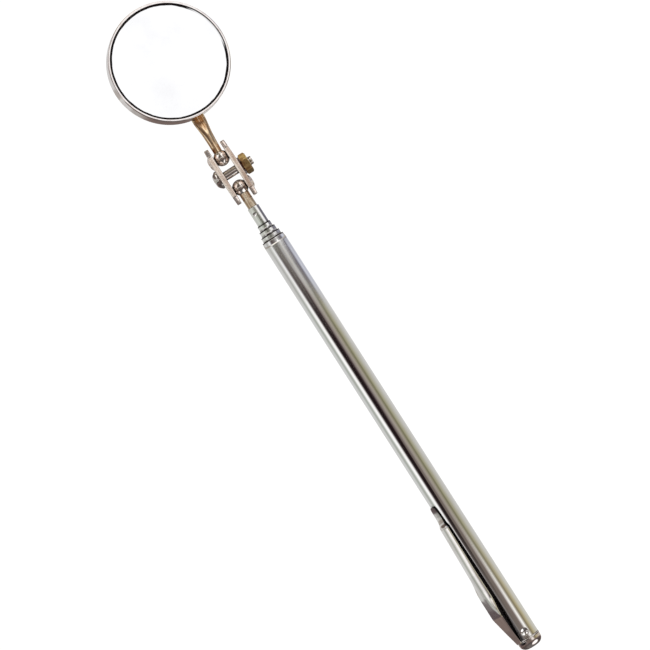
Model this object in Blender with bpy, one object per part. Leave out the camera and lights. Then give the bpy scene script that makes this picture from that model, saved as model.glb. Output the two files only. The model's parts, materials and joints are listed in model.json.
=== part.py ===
"""Telescoping inspection mirror: a round mirror on a double ball joint and a pocket-pen handle.

Frame: the origin is the centre of the end cap's flat butt face. +X runs along the handle
towards the mirror, +Y points to the side of the clamp screw's head, and +Z is the side that
the mirror faces. Metres throughout. The pose is collapsed, with the mirror nearly in line.
"""

import math

import bmesh
import bpy
from mathutils import Matrix, Vector

MM = 0.001

# Telescoping tubes: the handle is 1/4 in, and each section inside it is 1/32 in smaller.
# A swaged mouth is given by its whole length and the length of its straight nose. A section's
# nose is the longer, so a narrow gap shows round it where it leaves the tube outside it.
HANDLE_RADIUS = 6.35 / 2 * MM
TUBE_RADIUS_STEP = 25.4 / 64 * MM
TUBE_WALL = 0.22 * MM
MOUTH_CLEARANCE = 0.05 * MM
HANDLE_MOUTH = (1.3 * MM, 0.4 * MM)
SECTION_MOUTH = (1.9 * MM, 1.35 * MM)
TUBE_SEGMENTS = 32

HANDLE_FOOT_X = 2.87 * MM
HANDLE_MOUTH_X = 124.2 * MM
SECTION_MOUTH_X = {4: 125.5 * MM, 3: 127.0 * MM, 2: 128.5 * MM, 1: 133.6 * MM}
SECTION_4_FOOT_X = 9.0 * MM
FOOT_STAGGER = 6.2 * MM

# Split friction bush in a rolled groove at the foot of every section.
BUSH_LENGTH = 5.0 * MM
BUSH_CLEARANCE = 0.04 * MM
BUSH_SPLIT_ANGLE = math.radians(24)
GROOVE_DEPTH = 0.08 * MM
GROOVE_MARGIN = 0.6 * MM
GROOVE_END_SLOPE = 0.1 * MM

# End cap: a domed head on a plug that is locked in the tube by one punched dimple.
CAP_HEAD_LENGTH = 2.46 * MM
CAP_SKIRT = 1.2 * MM
BUTT_FACE_RADIUS = 1.35 * MM
PLUG_RADIUS = 2.9 * MM
PLUG_END_X = 8.6 * MM
PLUG_GROOVE_RADIUS = 2.3 * MM
DIMPLE_X = 4.6 * MM
DIMPLE_RADIUS = 1.05 * MM
DIMPLE_DEPTH = 0.45 * MM

# Pocket clip: a sprung strip that rises from a thin ring between the tube and the cap.
CLIP_AZIMUTH = math.radians(35)
CLIP_THICKNESS = 0.35 * MM
CLIP_RING_START_X = 2.48 * MM
CLIP_RING_END_X = 2.84 * MM
CLIP_RING_RADIUS = 3.28 * MM
CLIP_RING_BORE = 2.95 * MM
CLIP_TAB_WIDTH = 2.2 * MM
CLIP_FLEX_X = 2.66 * MM
CLIP_FLEX_HEIGHT = 3.45 * MM
# Along the strip: distance from the butt, height of the outer surface over the tube's axis,
# width, and the radius to which the strip is curved across (large where it is flat).
CLIP_STATIONS = [
    (2.92 * MM, 3.62 * MM, 1.7 * MM, 20.0 * MM),
    (6.7 * MM, 4.32 * MM, 2.7 * MM, 20.0 * MM),
    (11.2 * MM, 4.97 * MM, 4.1 * MM, 20.0 * MM),
    (13.4 * MM, 5.05 * MM, 4.0 * MM, 8.0 * MM),
    (17.0 * MM, 5.25 * MM, 3.9 * MM, 4.0 * MM),
    (24.0 * MM, 5.10 * MM, 3.7 * MM, 3.2 * MM),
    (34.0 * MM, 4.65 * MM, 3.3 * MM, 3.0 * MM),
    (38.0 * MM, 4.50 * MM, 3.2 * MM, 3.0 * MM),
    (38.9 * MM, 3.80 * MM, 2.4 * MM, 3.6 * MM),
    (40.5 * MM, 3.62 * MM, 2.3 * MM, 3.6 * MM),
    (42.4 * MM, 3.74 * MM, 2.1 * MM, 4.0 * MM),
    (43.6 * MM, 3.92 * MM, 1.7 * MM, 6.0 * MM),
    (44.0 * MM, 4.00 * MM, 0.9 * MM, 6.0 * MM),
]

# Double ball joint.
LOWER_BALL_X = 139.6 * MM
UPPER_BALL_X = 148.5 * MM
BALL_RADIUS = 2.1 * MM
BALL_SEAT_GAP = 0.05 * MM
BALL_SEGMENTS = 24
ROD_STEM_RADIUS = 1.3 * MM
ROD_STEM_FOOT_X = 129.4 * MM

PLATE_START_X = 136.0 * MM
PLATE_END_X = 152.2 * MM
PLATE_WIDTH = 7.5 * MM
PLATE_INNER_Y = 1.8 * MM
PLATE_THICKNESS = 1.4 * MM
PLATE_CORNER = 2.0 * MM
PLATE_BUMP_HEIGHT = 0.55 * MM
SCREW_HOLE_RADIUS = 1.32 * MM
SEAT_HOLE_RADIUS = 1.0 * MM

SCREW_RADIUS = 1.2 * MM
SCREW_HEAD_RADIUS = 2.5 * MM
SCREW_HEAD_HEIGHT = 1.7 * MM
SCREW_SLOT_WIDTH = 0.7 * MM
SCREW_SLOT_DEPTH = 0.8 * MM
SCREW_SLOT_TURN = math.radians(75)
SCREW_TIP_Y = -6.45 * MM
CONTACT_GAP = 0.03 * MM
WASHER_THICKNESS = 0.28 * MM
WASHER_RADIUS = 2.45 * MM
WASHER_BORE = 1.35 * MM
NUT_HEIGHT = 2.0 * MM
NUT_ACROSS_FLATS = 5.0 * MM
NUT_BORE = 1.25 * MM
NUT_CHAMFER = 0.4 * MM
NUT_TURN = math.radians(11.8)

# Mirror head, in its own frame: origin at the upper ball, +X along the stem, +Z out of the glass.
HEAD_SWING = math.radians(3.0)
HEAD_YAW = math.radians(2.0)
HEAD_SPIN = math.radians(13.4)
MIRROR_CENTRE_X = 27.7 * MM
CUP_RADIUS = 31.75 / 2 * MM
CUP_BACK_Z = 0.5 * MM
CUP_DEPTH = 4.6 * MM
CUP_SHEET = 0.4 * MM
CUP_CORNER = 0.95 * MM
LIP_INNER_RADIUS = 15.2 * MM
LIP_THICKNESS = 0.2 * MM
GLASS_RADIUS = 15.4 * MM
GLASS_THICKNESS = 2.0 * MM
GLASS_CHAMFER = 0.25 * MM
GLASS_FRONT_Z = 4.72 * MM
BACKING_RADIUS = 15.2 * MM
BACKING_GAP = 0.05 * MM
CUP_SEGMENTS = 48
# Along the stem: distance from the ball's centre, half width, half thickness.
STEM_STATIONS = [
    (2.15 * MM, 1.15 * MM, 1.15 * MM),
    (4.5 * MM, 1.20 * MM, 1.15 * MM),
    (7.0 * MM, 1.33 * MM, 1.00 * MM),
    (9.2 * MM, 1.56 * MM, 0.68 * MM),
    (11.0 * MM, 1.80 * MM, 0.45 * MM),
    (22.0 * MM, 1.85 * MM, 0.45 * MM),
    (23.4 * MM, 1.25 * MM, 0.45 * MM),
    (23.9 * MM, 0.55 * MM, 0.45 * MM),
]

SHARP_ANGLE = math.radians(35)
AXIS_FRAMES = {
    "X": Matrix.Rotation(math.pi / 2, 4, "Y"),
    "Y": Matrix.Rotation(-math.pi / 2, 4, "X"),
    "Z": Matrix.Identity(4),
}


def clear_scene():
    for old in list(bpy.data.objects):
        bpy.data.objects.remove(old, do_unlink=True)


def material(name, color, roughness, metallic):
    """A Principled material, made once and shared by name."""
    found = bpy.data.materials.get(name)
    if found:
        return found
    made = bpy.data.materials.new(name)
    made.use_nodes = True
    shader = made.node_tree.nodes["Principled BSDF"]
    shader.inputs["Base Color"].default_value = (*color, 1.0)
    shader.inputs["Roughness"].default_value = roughness
    shader.inputs["Metallic"].default_value = metallic
    return made


def chrome():
    return material("chrome", (0.80, 0.80, 0.82), 0.12, 1.0)


def nickel():
    return material("nickel", (0.62, 0.57, 0.53), 0.30, 1.0)


def steel():
    return material("steel", (0.66, 0.66, 0.66), 0.28, 1.0)


def brass():
    return material("brass", (0.72, 0.58, 0.30), 0.32, 1.0)


def mirror_glass():
    return material("mirror_glass", (0.93, 0.94, 0.95), 0.02, 1.0)


def board():
    return material("board", (0.36, 0.31, 0.25), 0.90, 0.0)


def pivot(name, location, parent=None):
    """An empty that marks a joint centre and carries the pieces that turn about it."""
    empty = bpy.data.objects.new(name, None)
    empty.empty_display_size = 2 * MM
    empty.location = location
    empty.parent = parent
    bpy.context.collection.objects.link(empty)
    return empty


def add_piece(name, mesh_builder, look, location=(0, 0, 0), parent=None):
    """Turn a closed bmesh into a named, smooth-shaded object with its own material."""
    bmesh.ops.recalc_face_normals(mesh_builder, faces=mesh_builder.faces)
    mesh = bpy.data.meshes.new(name)
    mesh_builder.to_mesh(mesh)
    mesh_builder.free()
    mesh.shade_smooth()
    mesh.set_sharp_from_angle(angle=SHARP_ANGLE)
    mesh.materials.append(look)
    piece = bpy.data.objects.new(name, mesh)
    piece.location = location
    piece.parent = parent
    bpy.context.collection.objects.link(piece)
    return piece


def cut_with(piece, cutter, operation="DIFFERENCE"):
    """Combine a hidden helper with a piece, using an exact Boolean."""
    cutter.hide_render = True
    cutter.display_type = "WIRE"
    boolean = piece.modifiers.new(operation.title() + " " + cutter.name, "BOOLEAN")
    boolean.operation = operation
    boolean.solver = "EXACT"
    boolean.object = cutter


def turned(profile, axis, segments, closed):
    """Revolve (station, radius) points about an axis; a point of radius 0 lies on the axis."""
    shape = bmesh.new()
    rings = []
    for station, radius in profile:
        if radius == 0:
            rings.append([shape.verts.new((0, 0, station))])
            continue
        ring = []
        for index in range(segments):
            angle = 2 * math.pi * index / segments
            ring.append(shape.verts.new((radius * math.cos(angle), radius * math.sin(angle), station)))
        rings.append(ring)
    pairs = list(zip(rings, rings[1:]))
    if closed:
        pairs.append((rings[-1], rings[0]))
    for first, second in pairs:
        join_rings(shape, first, second)
    shape.transform(AXIS_FRAMES[axis])
    return shape


def join_rings(shape, first, second):
    """Skin two vertex rings, either of which may be a single point."""
    count = max(len(first), len(second))
    for index in range(count):
        following = (index + 1) % count
        if len(first) == 1:
            shape.faces.new((first[0], second[index], second[following]))
        elif len(second) == 1:
            shape.faces.new((first[index], first[following], second[0]))
        else:
            shape.faces.new((first[index], first[following], second[following], second[index]))


def lofted(sections):
    """Skin a run of equal closed loops of points and cap both ends."""
    shape = bmesh.new()
    rings = [[shape.verts.new(point) for point in loop] for loop in sections]
    for first, second in zip(rings, rings[1:]):
        join_rings(shape, first, second)
    shape.faces.new(rings[0])
    shape.faces.new(rings[-1])
    return shape


def arc_points(centre, radius, start, end, steps):
    """(station, radius) points along an arc, angles measured from the axial direction."""
    points = []
    for index in range(steps + 1):
        angle = start + (end - start) * index / steps
        points.append((centre[0] + radius * math.cos(angle), centre[1] + radius * math.sin(angle)))
    return points


# Telescoping tubes -------------------------------------------------------------------------

def section_radius(number):
    return HANDLE_RADIUS - (5 - number) * TUBE_RADIUS_STEP


def section_foot(number):
    return SECTION_4_FOOT_X + (4 - number) * FOOT_STAGGER


def mouth_profile(mouth_x, radius, inner_tube_radius, mouth):
    """Outer then inner points of a swaged mouth that closes on the next tube."""
    length, nose = mouth
    bore = inner_tube_radius + MOUTH_CLEARANCE
    rim = bore + TUBE_WALL
    start = mouth_x - length
    middle = mouth_x - (length + nose) / 2
    outer = [(start, radius), (middle, (radius + rim) / 2), (mouth_x - nose, rim), (mouth_x, rim)]
    inner = [(mouth_x, bore), (mouth_x - nose, bore), (start, radius - TUBE_WALL)]
    return outer, inner


def groove_profile(foot_x, radius):
    """Stations of the rolled groove that locates the split bush, from foot to mouth."""
    start = foot_x + GROOVE_MARGIN - GROOVE_END_SLOPE
    end = foot_x + GROOVE_MARGIN + BUSH_LENGTH + GROOVE_END_SLOPE
    floor = radius - GROOVE_DEPTH
    return [
        (start, radius),
        (start + GROOVE_END_SLOPE / 2, floor),
        (end - GROOVE_END_SLOPE / 2, floor),
        (end, radius),
    ]


def dent(shape):
    """Press the punched dimple into the +Z side of the handle tube, through its whole wall."""
    for vertex in shape.verts:
        if vertex.co.z < 0:
            continue
        reach = math.hypot(vertex.co.x - DIMPLE_X, vertex.co.y) / DIMPLE_RADIUS
        if reach < 1:
            vertex.co.z -= DIMPLE_DEPTH * (1 - reach ** 2) ** 2


def build_handle_tube():
    outer, inner = mouth_profile(HANDLE_MOUTH_X, HANDLE_RADIUS, section_radius(4), HANDLE_MOUTH)
    dimple_rings = [DIMPLE_X + DIMPLE_RADIUS * step / 3 for step in range(-3, 4)]
    near = [(x, HANDLE_RADIUS) for x in dimple_rings]
    near_inner = [(x, HANDLE_RADIUS - TUBE_WALL) for x in reversed(dimple_rings)]
    profile = [(HANDLE_FOOT_X, HANDLE_RADIUS)] + near + outer
    profile += inner + near_inner + [(HANDLE_FOOT_X, HANDLE_RADIUS - TUBE_WALL)]
    shape = turned(profile, "X", TUBE_SEGMENTS, closed=True)
    dent(shape)
    return add_piece("handle_tube", shape, chrome())


def build_section(number):
    """One sliding tube, with its groove and, except on the last, a swaged mouth."""
    radius = section_radius(number)
    foot_x = section_foot(number)
    mouth_x = SECTION_MOUTH_X[number]
    groove = groove_profile(foot_x, radius)
    if number == 1:
        outer = [(mouth_x, radius)]
        inner = [(mouth_x, radius - TUBE_WALL)]
    else:
        outer, inner = mouth_profile(mouth_x, radius, section_radius(number - 1), SECTION_MOUTH)
    groove_inner = [(x, r - TUBE_WALL) for x, r in reversed(groove)]
    profile = [(foot_x, radius)] + groove + outer + inner + groove_inner + [(foot_x, radius - TUBE_WALL)]
    shape = turned(profile, "X", TUBE_SEGMENTS, closed=True)
    return add_piece(f"section_{number}_tube", shape, chrome())


def build_bush(number):
    """A split brass ring that grips the bore of the next tube out."""
    radius = section_radius(number)
    bore_of_next = radius + TUBE_RADIUS_STEP - TUBE_WALL
    inner = radius - BUSH_CLEARANCE
    outer = bore_of_next - BUSH_CLEARANCE
    start = section_foot(number) + GROOVE_MARGIN
    end = start + BUSH_LENGTH
    loops = []
    for index in range(TUBE_SEGMENTS - 2):
        sweep = 2 * math.pi - BUSH_SPLIT_ANGLE
        angle = BUSH_SPLIT_ANGLE / 2 + sweep * index / (TUBE_SEGMENTS - 3)
        across = Vector((0, math.cos(angle), math.sin(angle)))
        corners = ((start, inner), (end, inner), (end, outer), (start, outer))
        loops.append([Vector((x, 0, 0)) + across * r for x, r in corners])
    return add_piece(f"section_{number}_bush", lofted(loops), brass())


# End cap and pocket clip -------------------------------------------------------------------

def build_end_cap():
    dome_length = CAP_HEAD_LENGTH - CAP_SKIRT
    dome = []
    for step in range(6):
        angle = math.pi / 2 * step / 5
        across = BUTT_FACE_RADIUS + (HANDLE_RADIUS - BUTT_FACE_RADIUS) * math.sin(angle)
        dome.append((dome_length * (1 - math.cos(angle)), across))
    groove_start = DIMPLE_X - DIMPLE_RADIUS - CONTACT_GAP * 5
    groove_end = DIMPLE_X + DIMPLE_RADIUS + CONTACT_GAP * 5
    profile = [(0, 0)] + dome + [
        (CAP_HEAD_LENGTH, HANDLE_RADIUS),
        (CAP_HEAD_LENGTH, PLUG_RADIUS),
        (groove_start, PLUG_RADIUS),
        (groove_start, PLUG_GROOVE_RADIUS),
        (groove_end, PLUG_GROOVE_RADIUS),
        (groove_end, PLUG_RADIUS),
        (PLUG_END_X - 0.3 * MM, PLUG_RADIUS),
        (PLUG_END_X, PLUG_RADIUS - 0.3 * MM),
        (PLUG_END_X, 0),
    ]
    shape = turned(profile, "X", TUBE_SEGMENTS, closed=False)
    return add_piece("end_cap", shape, chrome())


def clip_directions():
    """Unit vectors out of the tube towards the clip, and across the clip."""
    outward = Vector((0, math.cos(CLIP_AZIMUTH), math.sin(CLIP_AZIMUTH)))
    across = Vector((0, -math.sin(CLIP_AZIMUTH), math.cos(CLIP_AZIMUTH)))
    return outward, across


def build_clip_ring():
    """The clip's thin ring, with the tab from which the strip rises."""
    outward, across = clip_directions()
    tab_radius = CLIP_STATIONS[0][1]
    tab_half_angle = math.asin(CLIP_TAB_WIDTH / 2 / tab_radius)
    loops = {"outer": [], "bore": []}
    for index in range(TUBE_SEGMENTS):
        angle = 2 * math.pi * index / TUBE_SEGMENTS
        signed = (angle + math.pi) % (2 * math.pi) - math.pi
        direction = outward * math.cos(angle) + across * math.sin(angle)
        radius = tab_radius if abs(signed) <= tab_half_angle else CLIP_RING_RADIUS
        loops["outer"].append(direction * radius)
        loops["bore"].append(direction * CLIP_RING_BORE)
    shape = bmesh.new()
    rings = []
    corners = (("outer", CLIP_RING_START_X), ("outer", CLIP_RING_END_X),
               ("bore", CLIP_RING_END_X), ("bore", CLIP_RING_START_X))
    for loop, station in corners:
        offset = Vector((station, 0, 0))
        rings.append([shape.verts.new(point + offset) for point in loops[loop]])
    for first, second in zip(rings, rings[1:] + rings[:1]):
        join_rings(shape, first, second)
    return add_piece("clip_ring", shape, steel())


def build_pocket_clip():
    """The sprung strip, curved across to follow the tube, with its origin on the flex axis."""
    outward, across = clip_directions()
    hinge_point = Vector((CLIP_FLEX_X, 0, 0)) + outward * CLIP_FLEX_HEIGHT
    steps = 4
    sections = []
    for station, height, width, bend_radius in CLIP_STATIONS:
        half_angle = math.asin(width / 2 / bend_radius)
        centre = Vector((station, 0, 0)) + outward * (height - bend_radius) - hinge_point
        angles = [half_angle * (2 * step / steps - 1) for step in range(steps + 1)]
        rays = [outward * math.cos(angle) + across * math.sin(angle) for angle in angles]
        loop = [centre + ray * bend_radius for ray in rays]
        loop += [centre + ray * (bend_radius - CLIP_THICKNESS) for ray in reversed(rays)]
        sections.append(loop)
    return add_piece("pocket_clip", lofted(sections), steel(), location=hinge_point)


# Double ball joint -------------------------------------------------------------------------

def ball_profile(steps=12):
    """Half circle of (station, radius) points from pole to pole."""
    points = [(-BALL_RADIUS, 0)]
    for step in range(1, steps):
        angle = math.pi * step / steps
        points.append((-BALL_RADIUS * math.cos(angle), BALL_RADIUS * math.sin(angle)))
    return points + [(BALL_RADIUS, 0)]


def build_rod_stem():
    """The round stem held in the last section; its end is cupped against the lower ball."""
    seat = BALL_RADIUS + BALL_SEAT_GAP
    cupped = []
    for step in range(5):
        across = ROD_STEM_RADIUS * (1 - step / 4)
        cupped.append((LOWER_BALL_X - math.sqrt(seat ** 2 - across ** 2), across))
    profile = [(ROD_STEM_FOOT_X, 0), (ROD_STEM_FOOT_X, ROD_STEM_RADIUS)] + cupped
    shape = turned(profile, "X", BALL_SEGMENTS, closed=False)
    return add_piece("rod_stem", shape, brass())


def build_ball(name, parent):
    return add_piece(name, turned(ball_profile(), "X", BALL_SEGMENTS, closed=False), steel(), parent=parent)


def plate_outline():
    """Corners of the plate in X and Z, going round, with every corner cut off."""
    low_x = PLATE_START_X - LOWER_BALL_X
    high_x = PLATE_END_X - LOWER_BALL_X
    half = PLATE_WIDTH / 2
    cut = PLATE_CORNER
    return [
        (low_x + cut, -half), (high_x - cut, -half), (high_x, cut - half), (high_x, half - cut),
        (high_x - cut, half), (low_x + cut, half), (low_x, half - cut), (low_x, cut - half),
    ]


def bump_helper(name, offset_x, side, parent):
    """The domed outside of a ball socket that is pressed into a plate."""
    outer_y = PLATE_INNER_Y + PLATE_THICKNESS
    radius = outer_y + PLATE_BUMP_HEIGHT
    rim_angle = math.acos(outer_y / radius)
    profile = [(PLATE_INNER_Y + PLATE_THICKNESS / 2, 0)]
    profile.append((PLATE_INNER_Y + PLATE_THICKNESS / 2, radius * math.sin(rim_angle)))
    profile += arc_points((0, 0), radius, rim_angle, 0, 5)[:-1]
    profile.append((radius, 0))
    profile = [(station * side, across) for station, across in profile]
    shape = turned(profile, "Y", BALL_SEGMENTS, closed=False)
    return add_piece(name, shape, nickel(), location=(offset_x, 0, 0), parent=parent)


def socket_cutter(name, offset_x, parent):
    seat = BALL_RADIUS + BALL_SEAT_GAP
    profile = [(station * seat / BALL_RADIUS, across * seat / BALL_RADIUS)
               for station, across in ball_profile()]
    shape = turned(profile, "Y", BALL_SEGMENTS, closed=False)
    return add_piece(name, shape, nickel(), location=(offset_x, 0, 0), parent=parent)


def hole_cutter(name, radius, offset_x, parent):
    reach = PLATE_INNER_Y + PLATE_THICKNESS * 3
    profile = [(-reach, 0), (-reach, radius), (reach, radius), (reach, 0)]
    shape = turned(profile, "Y", BALL_SEGMENTS, closed=False)
    return add_piece(name, shape, nickel(), location=(offset_x, 0, 0), parent=parent)


def build_plate(name, side, parent):
    """One clamp plate: flat with cut corners, the screw's hole, and a seat for each ball.

    One seat is pressed out into a bump and the other is a countersunk hole. Both plates are the
    same pressing turned end for end, so their bumps lie on opposite corners of the joint.
    """
    loops = []
    for distance in (PLATE_INNER_Y, PLATE_INNER_Y + PLATE_THICKNESS):
        loops.append([Vector((x, distance * side, z)) for x, z in plate_outline()])
    plate = add_piece(name, lofted(loops), nickel(), parent=parent)
    ball_gap = UPPER_BALL_X - LOWER_BALL_X
    bumped_x, holed_x = (ball_gap, 0) if side > 0 else (0, ball_gap)
    cut_with(plate, bump_helper(f"{name}_bump", bumped_x, side, parent), "UNION")
    cut_with(plate, socket_cutter(f"{name}_pressed_seat", bumped_x, parent))
    cut_with(plate, hole_cutter(f"{name}_seat_hole", SEAT_HOLE_RADIUS, holed_x, parent))
    cut_with(plate, socket_cutter(f"{name}_countersink", holed_x, parent))
    cut_with(plate, hole_cutter(f"{name}_screw_hole", SCREW_HOLE_RADIUS, ball_gap / 2, parent))
    return plate


def build_clamp_screw(parent):
    """A round-head slotted screw, head on +Y and tip on -Y."""
    seat_y = PLATE_INNER_Y + PLATE_THICKNESS + CONTACT_GAP
    top_y = seat_y + SCREW_HEAD_HEIGHT
    edge = 0.9 * MM
    rounding = arc_points((top_y - edge, SCREW_HEAD_RADIUS - edge), edge, math.pi / 2, 0, 4)
    profile = [(SCREW_TIP_Y, 0), (SCREW_TIP_Y, SCREW_RADIUS - 0.25 * MM)]
    profile += [(SCREW_TIP_Y + 0.25 * MM, SCREW_RADIUS), (seat_y, SCREW_RADIUS), (seat_y, SCREW_HEAD_RADIUS)]
    profile += rounding + [(top_y, 0)]
    shape = turned(profile, "Y", BALL_SEGMENTS, closed=False)
    screw = add_piece("clamp_screw", shape, steel(), parent=parent)
    slot = bmesh.new()
    bmesh.ops.create_cube(slot, size=1.0)
    slot.transform(Matrix.Diagonal((SCREW_SLOT_WIDTH, SCREW_SLOT_DEPTH * 2, SCREW_HEAD_RADIUS * 3, 1)))
    slot.transform(Matrix.Rotation(SCREW_SLOT_TURN, 4, "Y"))
    cut_with(screw, add_piece("clamp_screw_slot", slot, steel(), location=(0, top_y, 0), parent=parent))
    return screw


def nut_seat():
    """Distance from the joint's mid-plane to the outside of the washer."""
    return PLATE_INNER_Y + PLATE_THICKNESS + CONTACT_GAP + WASHER_THICKNESS


def build_nut_washer(parent):
    low = -nut_seat()
    high = low + WASHER_THICKNESS
    profile = [(low, WASHER_BORE), (low, WASHER_RADIUS), (high, WASHER_RADIUS), (high, WASHER_BORE)]
    return add_piece("nut_washer", turned(profile, "Y", BALL_SEGMENTS, closed=True), steel(), parent=parent)


def hexagon_radius(angle):
    """Distance from the nut's axis to its side at an angle, flats facing NUT_TURN."""
    sixth = math.pi / 3
    from_flat = (angle - NUT_TURN + sixth / 2) % sixth - sixth / 2
    return NUT_ACROSS_FLATS / 2 / math.cos(from_flat)


def build_clamp_nut(parent):
    """A hexagon nut with a chamfered outer face and a plain bore."""
    seat_y = -nut_seat() - CONTACT_GAP
    top_y = seat_y - NUT_HEIGHT
    chamfer_radius = NUT_ACROSS_FLATS / 2 * 0.97
    angles = [NUT_TURN + 2 * math.pi * (index + 0.5) / 24 + math.pi / 24 for index in range(24)]
    rows = [
        (seat_y, lambda angle: NUT_BORE),
        (seat_y, hexagon_radius),
        (top_y + NUT_CHAMFER, hexagon_radius),
        (top_y, lambda angle: min(chamfer_radius, hexagon_radius(angle))),
        (top_y, lambda angle: NUT_BORE),
    ]
    shape = bmesh.new()
    rings = []
    for station, radius_at in rows:
        ring = []
        for angle in angles:
            radius = radius_at(angle)
            ring.append(shape.verts.new((-radius * math.sin(angle), station, radius * math.cos(angle))))
        rings.append(ring)
    for first, second in zip(rings, rings[1:] + rings[:1]):
        join_rings(shape, first, second)
    return add_piece("clamp_nut", shape, brass(), parent=parent)


# Mirror head -------------------------------------------------------------------------------

def build_mirror_stem(parent):
    """Round at the ball, then hammered to a flat paddle that is soldered under the cup."""
    points = 20
    sections = []
    for station, half_width, half_thickness in STEM_STATIONS:
        power = 1.0 if half_width == half_thickness else 0.75
        loop = []
        for index in range(points):
            angle = 2 * math.pi * index / points
            across = math.copysign(abs(math.cos(angle)) ** power, math.cos(angle)) * half_width
            up = math.copysign(abs(math.sin(angle)) ** power, math.sin(angle)) * half_thickness
            loop.append(Vector((station, across, up)))
        sections.append(loop)
    return add_piece("mirror_stem", lofted(sections), brass(), parent=parent)


def build_mirror_cup(parent):
    """A drawn pan whose rim is rolled in over the edge of the glass."""
    front_z = CUP_BACK_Z + CUP_DEPTH
    inner_radius = CUP_RADIUS - CUP_SHEET
    floor_z = CUP_BACK_Z + CUP_SHEET
    corner_centre = (CUP_BACK_Z + CUP_CORNER, CUP_RADIUS - CUP_CORNER)
    corner = arc_points(corner_centre, CUP_CORNER, math.pi, math.pi / 2, 4)
    inner_corner = arc_points(corner_centre, CUP_CORNER - CUP_SHEET, math.pi / 2, math.pi, 3)
    profile = [(CUP_BACK_Z, 0)] + corner + [
        (front_z - 0.38 * MM, CUP_RADIUS),
        (front_z - 0.10 * MM, CUP_RADIUS - 0.10 * MM),
        (front_z, CUP_RADIUS - 0.32 * MM),
        (front_z - 0.05 * MM, LIP_INNER_RADIUS),
        (front_z - 0.05 * MM - LIP_THICKNESS, LIP_INNER_RADIUS),
        (front_z - 0.34 * MM, inner_radius - 0.02 * MM),
        (front_z - 0.50 * MM, inner_radius),
    ] + inner_corner + [(floor_z, 0)]
    shape = turned(profile, "Z", CUP_SEGMENTS, closed=False)
    return add_piece("mirror_cup", shape, nickel(), location=(MIRROR_CENTRE_X, 0, 0), parent=parent)


def build_mirror_glass(parent):
    back_z = GLASS_FRONT_Z - GLASS_THICKNESS
    profile = [
        (back_z, 0),
        (back_z, GLASS_RADIUS),
        (GLASS_FRONT_Z - GLASS_CHAMFER, GLASS_RADIUS),
        (GLASS_FRONT_Z, GLASS_RADIUS - GLASS_CHAMFER),
        (GLASS_FRONT_Z, 0),
    ]
    shape = turned(profile, "Z", CUP_SEGMENTS, closed=False)
    return add_piece("mirror_glass", shape, mirror_glass(), location=(MIRROR_CENTRE_X, 0, 0), parent=parent)


def build_mirror_backing(parent):
    """The board that packs the space between the cup's floor and the glass."""
    low_z = CUP_BACK_Z + CUP_SHEET + BACKING_GAP
    high_z = GLASS_FRONT_Z - GLASS_THICKNESS - BACKING_GAP
    radius = BACKING_RADIUS - CUP_CORNER
    profile = [
        (low_z, 0),
        (low_z, radius),
        (low_z + 0.5 * MM, BACKING_RADIUS),
        (high_z, BACKING_RADIUS),
        (high_z, 0),
    ]
    shape = turned(profile, "Z", CUP_SEGMENTS // 2, closed=False)
    return add_piece("mirror_backing", shape, board(), location=(MIRROR_CENTRE_X, 0, 0), parent=parent)


# Assembly ----------------------------------------------------------------------------------

def build_handle():
    build_handle_tube()
    build_end_cap()
    build_clip_ring()
    build_pocket_clip()
    for number in (4, 3, 2, 1):
        build_section(number)
        build_bush(number)


def build_ball_joint():
    lower = pivot("lower_ball_pivot", (LOWER_BALL_X, 0, 0))
    screw_axis = pivot("screw_axis", ((UPPER_BALL_X - LOWER_BALL_X) / 2, 0, 0), lower)
    build_rod_stem()
    build_ball("rod_ball", lower)
    build_plate("plate_screw_side", 1, lower)
    build_plate("plate_nut_side", -1, lower)
    build_clamp_screw(screw_axis)
    build_nut_washer(screw_axis)
    build_clamp_nut(screw_axis)


def build_mirror_head():
    upper = pivot("upper_ball_pivot", (UPPER_BALL_X, 0, 0))
    yaw = Matrix.Rotation(-HEAD_YAW, 4, "Z")
    swing = Matrix.Rotation(HEAD_SWING, 4, "Y")
    spin = Matrix.Rotation(HEAD_SPIN, 4, "X")
    upper.rotation_euler = (yaw @ swing @ spin).to_euler()
    build_ball("mirror_ball", upper)
    build_mirror_stem(upper)
    build_mirror_cup(upper)
    build_mirror_backing(upper)
    build_mirror_glass(upper)


def main():
    clear_scene()
    build_handle()
    build_ball_joint()
    build_mirror_head()
    bpy.context.view_layer.update()


main()
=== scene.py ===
"""The looks of a telescoping inspection mirror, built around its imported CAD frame.

Everything is in metres, in the frame's own axes: +X along the handle towards the mirror, +Y to
the clamp screw's head, +Z to the side that the mirror faces. Places come from the CAD nodes
and from the record's joints. Fine meshes stand for the faceted CAD solids.
"""

import json
import math

import bmesh
import bpy
from mathutils import Matrix, Vector
from mathutils.geometry import delaunay_2d_cdt


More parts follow.
